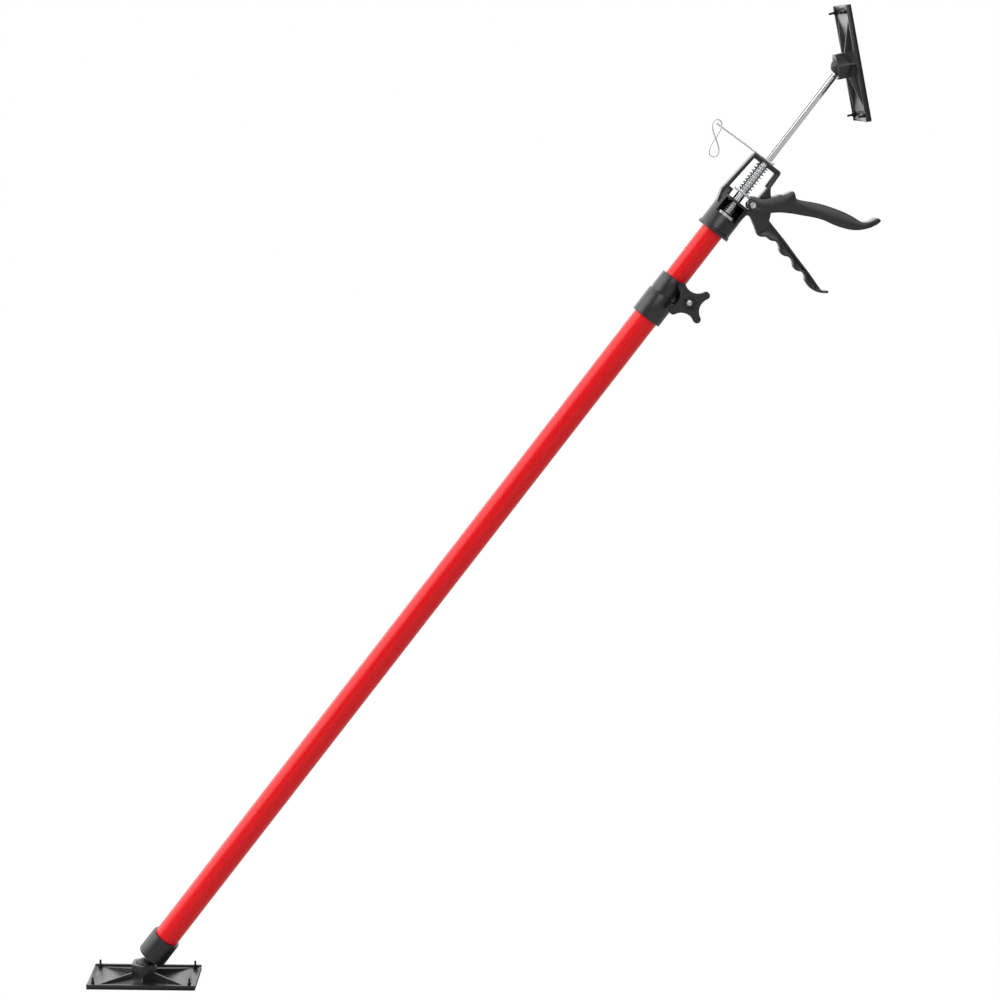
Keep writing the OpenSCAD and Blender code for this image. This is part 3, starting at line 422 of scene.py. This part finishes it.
def rubber_material(colour):
    """Dull rubber with a coarse skin and a dusty, cloudy tone."""
    tree, shader = start_material("sole_rubber", roughness=0.8, specular=0.35)
    grain = place_group(tree, "fine_grain", Grain_size=0.0009, Cloud_size=0.015)
    tint_between(tree, shader, grain, "Cloud", colour, darkest=0.7, lightest=1.35)
    roughness_between(tree, shader, grain, "Grain", smoothest=0.7, roughest=0.88)
    bump_from(tree, shader, grain, "Grain", depth=0.00012, strength=0.6)


def rod_material(colour):
    """Plated round bar: bright, with faint lines that run along it."""
    tree, shader = start_material("plated_rod", metallic=1.0, roughness=0.16)
    lines = place_group(tree, "drawn_lines", Line_width=0.0011, Stretch=0.006)
    tint_between(tree, shader, lines, "Lines", colour, darkest=0.93, lightest=1.06)
    roughness_between(tree, shader, lines, "Lines", smoothest=0.16, roughest=0.24)


def zinc_material(colour):
    """Bright zinc plating on pressed steel, cloudy in tone, gloss and relief."""
    tree, shader = start_material("zinc_plate", metallic=1.0, roughness=0.3)
    grain = place_group(tree, "fine_grain", Grain_size=0.0004, Cloud_size=0.004)
    tint_between(tree, shader, grain, "Cloud", colour, darkest=0.78, lightest=1.12)
    roughness_between(tree, shader, grain, "Cloud", smoothest=0.28, roughest=0.42)
    bump_from(tree, shader, grain, "Cloud", depth=0.00002, strength=0.15)


def wire_material(colour):
    """Drawn spring wire with a bright plating."""
    tree, shader = start_material("spring_wire", metallic=1.0, roughness=0.24)
    grain = place_group(tree, "fine_grain", Grain_size=0.0003, Cloud_size=0.003)
    tint_between(tree, shader, grain, "Cloud", colour, darkest=0.8, lightest=1.12)
    roughness_between(tree, shader, grain, "Grain", smoothest=0.16, roughest=0.32)


def coated_material(colour):
    """Dark phosphate coating on the ball studs, cloudy, with a fine grain."""
    tree, shader = start_material("coated_steel", metallic=0.6, roughness=0.42)
    grain = place_group(tree, "fine_grain", Grain_size=0.0006, Cloud_size=0.006)
    tint_between(tree, shader, grain, "Cloud", colour, darkest=0.75, lightest=1.3)
    roughness_between(tree, shader, grain, "Cloud", smoothest=0.32, roughest=0.5)
    bump_from(tree, shader, grain, "Grain", depth=0.00004, strength=0.4)


# Which finish each node of the frame carries, and the record's slot for it
FINISHES = {
    "tube_enamel": ("red_paint", ["lower_tube", "upper_tube"]),
    "moulded_nylon": ("black_moulding", [
        "foot_plate", "foot_cap", "clamp_collar", "clamp_knob", "tube_guide", "ratchet_frame", "rod_guide",
        "pump_lever", "head_plate"]),
    "sole_rubber": ("rubber_sole", ["foot_sole", "head_sole"]),
    "plated_rod": ("chromed_rod", ["push_rod"]),
    "zinc_plate": ("zinc_steel", [
        "foot_ball_nut", "collar_rivet", "clamp_screw", "clamp_nut", "sleeve_rivet", "spring_cup",
        "drive_plate", "lever_pin", "release_strip", "release_ring"]),
    "spring_wire": ("spring_steel", ["short_spring", "return_spring"]),
    "coated_steel": ("black_ball", ["foot_ball", "head_ball"]),
}


def finish_of(node):
    """The material of a frame node and the record's slot for it."""
    for name, (slot, nodes) in FINISHES.items():
        if node in nodes:
            return bpy.data.materials[name], slot
    raise KeyError(node)


# Mesh helpers

def deselect_all():
    """Leave edit mode and select nothing."""
    if bpy.context.object and bpy.context.object.mode != "OBJECT":
        bpy.ops.object.mode_set(mode="OBJECT")
    bpy.ops.object.select_all(action="DESELECT")


def pick(piece):
    """Make one object the only selected and active one."""
    deselect_all()
    piece.select_set(True)
    bpy.context.view_layer.objects.active = piece


def apply_modifier(piece, kind, **settings):
    """Add one modifier to a piece and apply it."""
    pick(piece)
    modifier = piece.modifiers.new(kind.title(), kind)
    for key, value in settings.items():
        setattr(modifier, key, value)
    bpy.ops.object.modifier_apply(modifier=modifier.name)


def settle(piece):
    """Put the piece's place into its mesh, so that its object sits at the origin."""
    pick(piece)
    bpy.ops.object.transform_apply(location=True, rotation=True, scale=True)


def hand_over(piece, node):
    """Give a finished piece the finish and the body of the frame node that it stands for."""
    material, slot = finish_of(node)
    piece.name = node + "_dressed"
    piece.data.name = piece.name
    piece.data.materials.clear()
    piece.data.materials.append(material)
    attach(piece, body_of(node))
    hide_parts(node)


def finish_mesh(piece, smooth_angle):
    """Weld, turn the faces outward and smooth all but the sharp edges."""
    pick(piece)
    bpy.ops.object.mode_set(mode="EDIT")
    bpy.ops.mesh.select_all(action="SELECT")
    bpy.ops.mesh.remove_doubles(threshold=WELD)
    bpy.ops.mesh.normals_make_consistent(inside=False)
    bpy.ops.object.mode_set(mode="OBJECT")
    bpy.ops.object.shade_smooth_by_angle(angle=math.radians(smooth_angle))


def turned(profile, place, sides=96, closed=False):
    """A turned piece: a circle drawn through (radius, height) pairs in millimetres, then put in place.

    A closed profile makes a ring or tube. Any other starts and ends in a flat face across the axis.
    """
    deselect_all()
    radius, height = profile[0]
    bpy.ops.mesh.primitive_circle_add(
        vertices=sides, radius=radius * MM, fill_type="NOTHING" if closed else "NGON",
        location=(0, 0, height * MM))
    piece = bpy.context.object
    settle(piece)
    bpy.ops.object.mode_set(mode="EDIT")
    bpy.ops.mesh.select_all(action="SELECT")
    for (radius, height), (next_radius, next_height) in zip(profile, profile[1:]):
        bpy.ops.mesh.extrude_region_move(
            TRANSFORM_OT_translate={"value": (0, 0, (next_height - height) * MM)})
        grow = next_radius / radius
        bpy.ops.transform.resize(value=(grow, grow, 1), center_override=(0, 0, next_height * MM))
    bpy.ops.object.mode_set(mode="OBJECT")
    piece.matrix_world = place
    settle(piece)
    finish_mesh(piece, TURNED_SMOOTH)
    return piece


def arc(centre, height, radius, start, end, steps=6):
    """Points of a quarter or other arc in a profile; angles in degrees from the outward direction."""
    turns = [math.radians(start + (end - start) * k / steps) for k in range(steps + 1)]
    return [(centre + radius * math.cos(turn), height + radius * math.sin(turn)) for turn in turns]


def wire(points, diameter, place, closed=False):
    """Round wire along a path in millimetres: a round curve, made a mesh and put in place."""
    deselect_all()
    bpy.ops.curve.primitive_nurbs_path_add()
    piece = bpy.context.object
    piece.data.splines.clear()
    path = piece.data.splines.new("POLY")
    path.points.add(len(points) - 1)
    for point, (x, y, z) in zip(path.points, points):
        point.co = (x * MM, y * MM, z * MM, 1)
    path.use_cyclic_u = closed
    piece.data.bevel_depth = diameter / 2 * MM
    piece.data.bevel_resolution = WIRE_RESOLUTION
    piece.data.use_fill_caps = not closed
    pick(piece)
    bpy.ops.object.convert(target="MESH")
    piece = bpy.context.object
    piece.matrix_world = place
    settle(piece)
    finish_mesh(piece, WIRE_SMOOTH)
    return piece


def softened(node, width):
    """A welded copy of a frame node whose sharp edges are broken by a small round."""
    source = FRAME["nodes"][node]
    piece = source.copy()
    piece.data = source.data.copy()
    for key in list(piece.keys()):
        del piece[key]
    piece.parent = None
    piece.matrix_world = Matrix.Identity(4)
    bpy.context.scene.collection.objects.link(piece)
    pick(piece)
    bpy.ops.object.mode_set(mode="EDIT")
    bpy.ops.mesh.select_all(action="SELECT")
    bpy.ops.mesh.remove_doubles(threshold=WELD)
    bpy.ops.mesh.dissolve_limited(angle_limit=math.radians(FLAT_ANGLE))
    bpy.ops.object.mode_set(mode="OBJECT")
    apply_modifier(
        piece, "BEVEL", width=width, segments=BREAK_SEGMENTS, limit_method="ANGLE",
        angle_limit=math.radians(BREAK_ANGLE), use_clamp_overlap=True, miter_outer="MITER_ARC")
    finish_mesh(piece, MOULDED_SMOOTH)
    return piece


# Operators

class SP_OT_finishes(bpy.types.Operator):
    """Build the finishes and put them on the frame's own pieces."""

    bl_idname = "support_pole.finishes"
    bl_label = "Finishes"

    def execute(self, context):
        colours = context.scene.sp_colours
        grain_group()
        drawn_lines_group()
        enamel_material(colours.tube_enamel)
        nylon_material(colours.moulded_nylon)
        rubber_material(colours.rubber)
        rod_material(colours.plated_rod)
        zinc_material(colours.zinc)
        wire_material(colours.spring_wire)
        coated_material(colours.coated_steel)
        for name, node in FRAME["nodes"].items():
            for entry in node.material_slots:
                entry.material = finish_of(name)[0]
        return {"FINISHED"}


class SP_OT_tubes(bpy.types.Operator):
    """Turn both tubes, with a small chamfer at each end."""

    bl_idname = "support_pole.tubes"
    bl_label = "Tubes"

    def execute(self, context):
        for node in ("lower_tube", "upper_tube"):
            low, high, bore, skin = span(node)
            wall = [(bore, low), (skin - CHAMFER, low), (skin, low + CHAMFER), (skin, high - CHAMFER),
                    (skin - CHAMFER, high), (bore, high), (bore, low)]
            piece = turned(wall, POLE_MATRIX, sides=160, closed=True)
            hand_over(piece, node)
        return {"FINISHED"}


class SP_OT_rod(bpy.types.Operator):
    """Turn the push rod: a round bar with a waist below the ball and a bore for its stem."""

    bl_idname = "support_pole.rod"
    bl_label = "Push rod"

    def execute(self, context):
        rod = span("push_rod")
        shoulder = in_pole(HEAD_BALL).z - HEAD_WAIST
        profile = [
            (STEM_BORE, shoulder - STEM_LENGTH), (STEM_BORE, rod.high), (WAIST, rod.high),
            (WAIST, shoulder), (rod.outer - 2 * CHAMFER, shoulder), (rod.outer, shoulder - 2 * CHAMFER),
            (rod.outer, rod.low + CHAMFER), (rod.outer - CHAMFER, rod.low)]
        hand_over(turned(profile, POLE_MATRIX, sides=128), "push_rod")
        return {"FINISHED"}


class SP_OT_balls(bpy.types.Operator):
    """Turn the ball studs of the foot and the head."""

    bl_idname = "support_pole.balls"
    bl_label = "Ball studs"

    def execute(self, context):
        stud = span("foot_ball")
        points = [in_pole(vertex.co) for vertex in FRAME["nodes"]["foot_ball"].data.vertices]
        neck = max(math.hypot(point.x, point.y) for point in points if point.z > stud.high - NECK_BAND)
        meet = math.degrees(math.acos(neck / stud.outer))
        foot = arc(0, 0, stud.outer, -BALL_END, meet, BALL_STEPS)
        foot += [(neck, stud.high - CHAMFER), (neck - CHAMFER, stud.high)]
        hand_over(turned(foot, POLE_MATRIX), "foot_ball")

        stud = span("head_ball")
        meet = math.degrees(math.acos(STEM / stud.outer))
        head = [(STEM - CHAMFER, stud.low), (STEM, stud.low + CHAMFER)]
        head += arc(0, in_pole(HEAD_BALL).z, stud.outer, -meet, BALL_END, BALL_STEPS)
        hand_over(turned(head, POLE_MATRIX), "head_ball")
        return {"FINISHED"}


class SP_OT_cap(bpy.types.Operator):
    """Turn the cup at the foot of the lower tube."""

    bl_idname = "support_pole.cap"
    bl_label = "Foot cap"

    def execute(self, context):
        low, high, bore, skin = span("foot_cap")
        tube = span("lower_tube")
        profile = [(bore, low)]
        profile += arc(skin - CAP_ROUND, low + CAP_ROUND, CAP_ROUND, -90, 0)
        profile += arc(skin - CAP_RIM_ROUND, high - CAP_RIM_ROUND, CAP_RIM_ROUND, 0, 90)
        profile += [(tube.outer, high), (tube.outer, tube.low), (bore, tube.low), (bore, low)]
        hand_over(turned(profile, POLE_MATRIX, sides=128, closed=True), "foot_cap")
        return {"FINISHED"}


def coil(radius, turns, low, high, end_pitch, flare=0.0):
    """Path of a wound spring, its end turns close and its lowest turn wider by the flare."""
    length = high - low
    pitch = (length - 2 * end_pitch) / (turns - 2)
    path = []
    for step in range(round(COIL_STEPS * turns) + 1):
        turn = step / COIL_STEPS
        ends = min(turn, 1) + max(turn - (turns - 1), 0)
        rise = end_pitch * ends + pitch * min(max(turn - 1, 0), turns - 2)
        reach = radius + flare * (1 - rise / length)
        angle = math.tau * turn
        path.append((reach * math.cos(angle), reach * math.sin(angle), low + rise))
    return path


class SP_OT_springs(bpy.types.Operator):
    """Wind the return spring and the short conical spring, and turn the cup that it stands on."""

    bl_idname = "support_pole.springs"
    bl_label = "Springs"

    def execute(self, context):
        sizes = context.scene.sp_sizes
        thick = sizes.return_wire / MM
        spring = span("return_spring")
        path = coil(spring.outer - thick / 2, sizes.return_turns, spring.low + thick / 2,
                    spring.high - thick / 2, thick + COIL_GAP)
        piece = wire(path, thick, POLE_MATRIX)
        hand_over(piece, "return_spring")
        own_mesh(piece)

        thick = sizes.short_wire / MM
        spring = span("short_spring")
        radius = span("push_rod").outer + SPRING_PLAY + thick / 2
        path = coil(radius, sizes.short_turns, spring.low + thick / 2, spring.high - thick / 2,
                    thick + COIL_GAP, flare=spring.outer - thick / 2 - radius)
        hand_over(wire(path, thick, POLE_MATRIX), "short_spring")

        low, high, bore, flange = span("spring_cup")
        step = low + CUP_FLANGE
        cone = bore + (flange - bore) * CUP_CONE_SHARE
        profile = [
            (bore, low), (flange - CHAMFER, low), (flange, low + CHAMFER), (flange, step - CHAMFER),
            (flange - CHAMFER, step), (cone, step), (bore + CUP_TOP_WALL, high), (bore, high), (bore, low)]
        hand_over(turned(profile, POLE_MATRIX, closed=True), "spring_cup")
        return {"FINISHED"}


class SP_OT_ring(bpy.types.Operator):
    """Bend the pull ring: a wire figure of eight whose strands cross at the middle."""

    bl_idname = "support_pole.ring"
    bl_label = "Pull ring"

    def execute(self, context):
        thick = context.scene.sp_sizes.ring_wire / MM
        half_w = RING_W / 2 - thick / 2
        half_h = RING_H / 2 - thick / 2
        aside = thick / 2 + COIL_GAP / 2
        path = []
        for step in range(RING_STEPS):
            turn = math.tau * step / RING_STEPS
            path.append((half_w * math.sin(2 * turn), aside * math.sin(turn), half_h * math.cos(turn)))
        hang = half_h * math.cos(math.radians(RING_BEARING))
        lean = Matrix.Rotation(math.radians(RING_LEAN), 4, "Y")
        place = Matrix.Translation(RING_HOLE) @ lean @ Matrix.Translation(Vector((-half_w, 0, -hang)) * MM)
        hand_over(wire(path, thick, place, closed=True), "release_ring")
        return {"FINISHED"}


class SP_OT_pivot(bpy.types.Operator):
    """Turn the lever's pivot rivet, with a ring groove and a dimple in each head."""

    bl_idname = "support_pole.pivot"
    bl_label = "Pivot rivet"

    def execute(self, context):
        points = [vertex.co - PIVOT for vertex in FRAME["nodes"]["lever_pin"].data.vertices]
        half = max(point.y for point in points) / MM
        head = max(math.hypot(point.x, point.z) for point in points) / MM
        side = [(radius, half - depth) for radius, depth in PIN_FACE]
        side += [(head, half - PIN_RIM), (head, half - PIN_HEAD), (PIN, half - PIN_HEAD)]
        profile = [(radius, -height) for radius, height in side]
        profile += [(radius, height) for radius, height in reversed(side)]
        place = Matrix.Translation(PIVOT) @ Matrix.Rotation(math.radians(-90), 4, "X")
        hand_over(turned(profile, place, sides=64), "lever_pin")
        return {"FINISHED"}


class SP_OT_mouldings(bpy.types.Operator):
    """Break the edges of the moulded pieces: pads, collar, knob, ratchet frame and lever."""

    bl_idname = "support_pole.mouldings"
    bl_label = "Mouldings"

    def execute(self, context):
        width = context.scene.sp_sizes.edge_break
        for node in ("foot_plate", "head_plate", "clamp_collar", "clamp_knob", "ratchet_frame",
                     "pump_lever"):
            hand_over(softened(node, width), node)
        return {"FINISHED"}


class SP_OT_pressings(bpy.types.Operator):
    """Break the edges of the steel strip, the drive plate, the clamp screw and the soles."""

    bl_idname = "support_pole.pressings"
    bl_label = "Pressings and soles"

    def execute(self, context):
        width = context.scene.sp_sizes.fine_edge_break
        for node in ("release_strip", "drive_plate", "clamp_screw", "foot_sole", "head_sole"):
            hand_over(softened(node, width), node)
        return {"FINISHED"}


def white_floor(settings):
    """A floor that the camera sees as white, with a hint of the object's shadow."""
    deselect_all()
    bpy.ops.mesh.primitive_plane_add(size=FLOOR_SIZE, location=FLOOR_PLACE)
    floor = bpy.context.object
    floor.name = "studio_floor"
    material = bpy.data.materials.new("studio_floor")
    material.use_nodes = True
    tree = material.node_tree
    shader = tree.nodes["Principled BSDF"]
    shader.inputs["Base Color"].default_value = (FLOOR_GREY, FLOOR_GREY, FLOOR_GREY, 1)
    shader.inputs["Roughness"].default_value = FLOOR_ROUGHNESS
    shader.inputs["Specular IOR Level"].default_value = FLOOR_SHINE
    glow = add_node(tree, "ShaderNodeEmission", {"Color": WHITE, "Strength": FLOOR_GLOW})
    rays = add_node(tree, "ShaderNodeLightPath")
    part = add_node(tree, "ShaderNodeMath", {1: 1 - settings.shadow}, operation="MULTIPLY")
    mixed = add_node(tree, "ShaderNodeMixShader")
    join(tree, rays, "Is Camera Ray", part, 0)
    join(tree, part, 0, mixed, 0)
    join(tree, shader, "BSDF", mixed, 1)
    join(tree, glow, "Emission", mixed, 2)
    join(tree, mixed, "Shader", tree.nodes["Material Output"], "Surface")
    floor.data.materials.append(material)


def lit_room(settings):
    """A room that the camera sees as white, lit from behind and from the left of the object."""
    world = bpy.data.worlds.new("studio")
    bpy.context.scene.world = world
    world.use_nodes = True
    tree = world.node_tree
    room = tree.nodes["Background"]
    room.inputs["Color"].default_value = WHITE
    white = add_node(tree, "ShaderNodeBackground", {"Color": WHITE, "Strength": 1.0})
    rays = add_node(tree, "ShaderNodeLightPath")
    mixed = add_node(tree, "ShaderNodeMixShader")
    facing = add_node(tree, "ShaderNodeTexCoord")
    toward = add_node(tree, "ShaderNodeVectorMath", {1: ROOM_BRIGHT_SIDE}, operation="DOT_PRODUCT")
    level = add_node(
        tree, "ShaderNodeMapRange",
        {"From Min": ROOM_DARK_AT, "From Max": ROOM_BRIGHT_AT,
         "To Min": settings.room_dark * settings.light, "To Max": settings.room_bright * settings.light},
        clamp=True, interpolation_type="SMOOTHSTEP")
    join(tree, facing, "Generated", toward, 0)
    join(tree, toward, "Value", level, "Value")
    join(tree, level, "Result", room, "Strength")
    join(tree, rays, "Is Camera Ray", mixed, 0)
    join(tree, room, "Background", mixed, 1)
    join(tree, white, "Background", mixed, 2)
    join(tree, mixed, "Shader", tree.nodes["World Output"], "Surface")


def hang_lamps(settings):
    """Large soft lamps, each turned to the point that it is aimed at."""
    for name, place, wide, tall, power, aim in LAMPS:
        bpy.ops.object.light_add(type="AREA", location=place)
        lamp = bpy.context.object
        lamp.name = name
        lamp.data.shape = "RECTANGLE"
        lamp.data.size = wide
        lamp.data.size_y = tall
        lamp.data.energy = power * settings.light
        lamp.rotation_euler = (Vector(aim) - Vector(place)).to_track_quat("-Z", "Y").to_euler()


def product_camera(settings):
    """The camera of the product view, turned by its pitch, yaw and roll."""
    bpy.ops.object.camera_add(location=CAMERA_PLACE)
    camera = bpy.context.object
    camera.name = "product_view"
    camera.data.lens = settings.lens
    camera.data.sensor_width = CAMERA_SENSOR
    camera.data.clip_end = CAMERA_FAR
    pitch = math.radians(CAMERA_PITCH)
    yaw = math.radians(CAMERA_YAW)
    roll = math.radians(CAMERA_ROLL)
    flat = math.cos(pitch)
    ahead = Vector((math.sin(yaw) * flat, math.cos(yaw) * flat, -math.sin(pitch)))
    level = Vector((math.cos(yaw), -math.sin(yaw), 0))
    rise = level.cross(ahead)
    right = math.cos(roll) * level + math.sin(roll) * rise
    up = -math.sin(roll) * level + math.cos(roll) * rise
    camera.rotation_euler = Matrix((right, up, -ahead)).transposed().to_euler()
    bpy.context.scene.camera = camera


class SP_OT_studio(bpy.types.Operator):
    """White floor, lit room, soft lamps and the camera of the product view."""

    bl_idname = "support_pole.studio"
    bl_label = "Studio"

    def execute(self, context):
        settings = context.scene.sp_studio
        context.scene.view_settings.view_transform = "Standard"
        white_floor(settings)
        lit_room(settings)
        hang_lamps(settings)
        product_camera(settings)
        return {"FINISHED"}


class SP_PT_panel(bpy.types.Panel):
    """Support pole settings and pieces."""

    bl_label = "Support Pole"
    bl_idname = "SP_PT_panel"
    bl_space_type = "VIEW_3D"
    bl_region_type = "UI"
    bl_category = "Support Pole"

    def draw(self, context):
        layout = self.layout
        for group in (context.scene.sp_colours, context.scene.sp_sizes, context.scene.sp_studio):
            for name in group.__annotations__:
                layout.prop(group, name)
        for operator in OPERATORS:
            layout.operator(operator.bl_idname)


OPERATORS = (SP_OT_finishes, SP_OT_tubes, SP_OT_rod, SP_OT_balls, SP_OT_cap, SP_OT_springs, SP_OT_ring,
             SP_OT_pivot, SP_OT_mouldings, SP_OT_pressings, SP_OT_studio)
CLASSES = (SP_PoleColours, SP_PoleSizes, SP_Studio) + OPERATORS + (SP_PT_panel,)


def register():
    for entry in CLASSES:
        bpy.utils.register_class(entry)
    bpy.types.Scene.sp_colours = PointerProperty(type=SP_PoleColours)
    bpy.types.Scene.sp_sizes = PointerProperty(type=SP_PoleSizes)
    bpy.types.Scene.sp_studio = PointerProperty(type=SP_Studio)


def unregister():
    del bpy.types.Scene.sp_studio
    del bpy.types.Scene.sp_sizes
    del bpy.types.Scene.sp_colours
    for entry in reversed(CLASSES):
        bpy.utils.unregister_class(entry)


def main():
    register()
    bpy.ops.support_pole.finishes()
    bpy.ops.support_pole.tubes()
    bpy.ops.support_pole.rod()
    bpy.ops.support_pole.balls()
    bpy.ops.support_pole.cap()
    bpy.ops.support_pole.springs()
    bpy.ops.support_pole.ring()
    bpy.ops.support_pole.pivot()
    bpy.ops.support_pole.mouldings()
    bpy.ops.support_pole.pressings()
    bpy.ops.support_pole.studio()


if __name__ == "__main__":
    main()
